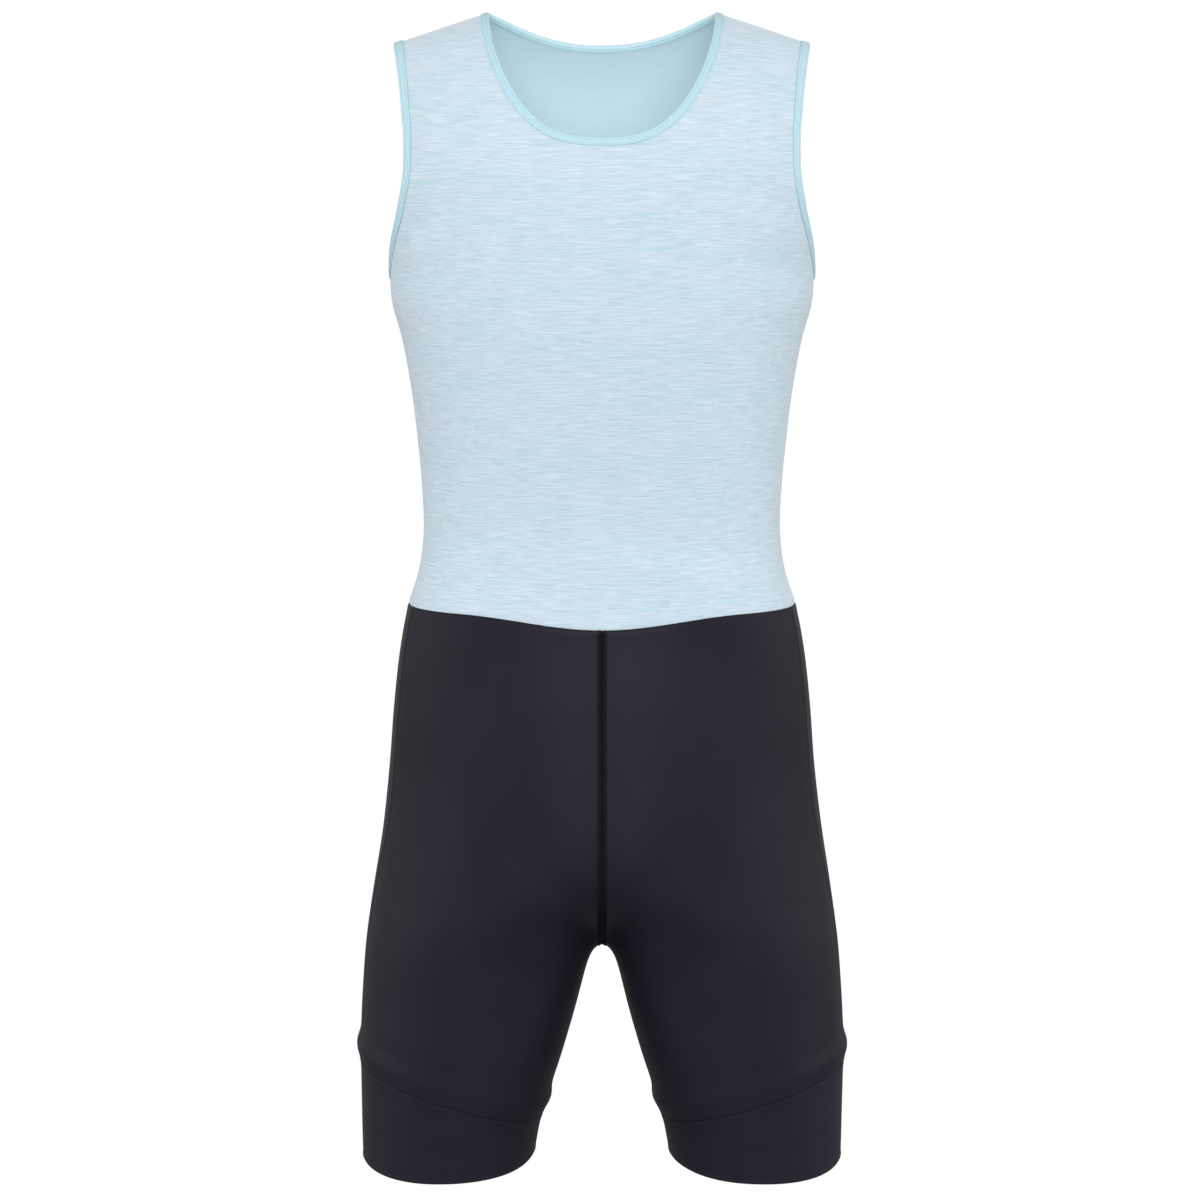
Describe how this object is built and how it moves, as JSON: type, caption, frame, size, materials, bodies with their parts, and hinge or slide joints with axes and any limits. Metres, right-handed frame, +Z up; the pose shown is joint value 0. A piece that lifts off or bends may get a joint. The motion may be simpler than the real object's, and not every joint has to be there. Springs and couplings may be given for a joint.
{
  "type": "rowing suit",
  "caption": "Sleeveless one-piece rowing suit, worn open and hollow: scoop neck, bound armholes, knee-length shorts with slanted leg bands.",
  "frame": {"origin": "between the shoulders, midway between the two points where the shoulder seams meet the neck edge: where the wearer holds the suit up", "axes": "+Z up, front facing -Y, the wearer's left towards +X"},
  "size_m": [0.3702, 0.2361, 0.864],
  "materials": {
    "melange_jersey": "matt space-dyed jersey",
    "aqua_binding": "matt folded binding",
    "dark_lycra": "satin stretch knit"
  },
  "bodies": {
    "root": {"bodice_front": "melange_jersey", "bodice_back": "melange_jersey", "neck_binding": "aqua_binding", "armhole_binding_left": "aqua_binding", "armhole_binding_right": "aqua_binding", "shorts_front_left": "dark_lycra", "shorts_front_right": "dark_lycra", "shorts_back_left": "dark_lycra", "shorts_back_right": "dark_lycra", "leg_band_left": "dark_lycra", "leg_band_right": "dark_lycra"}
  },
  "joints": []
}
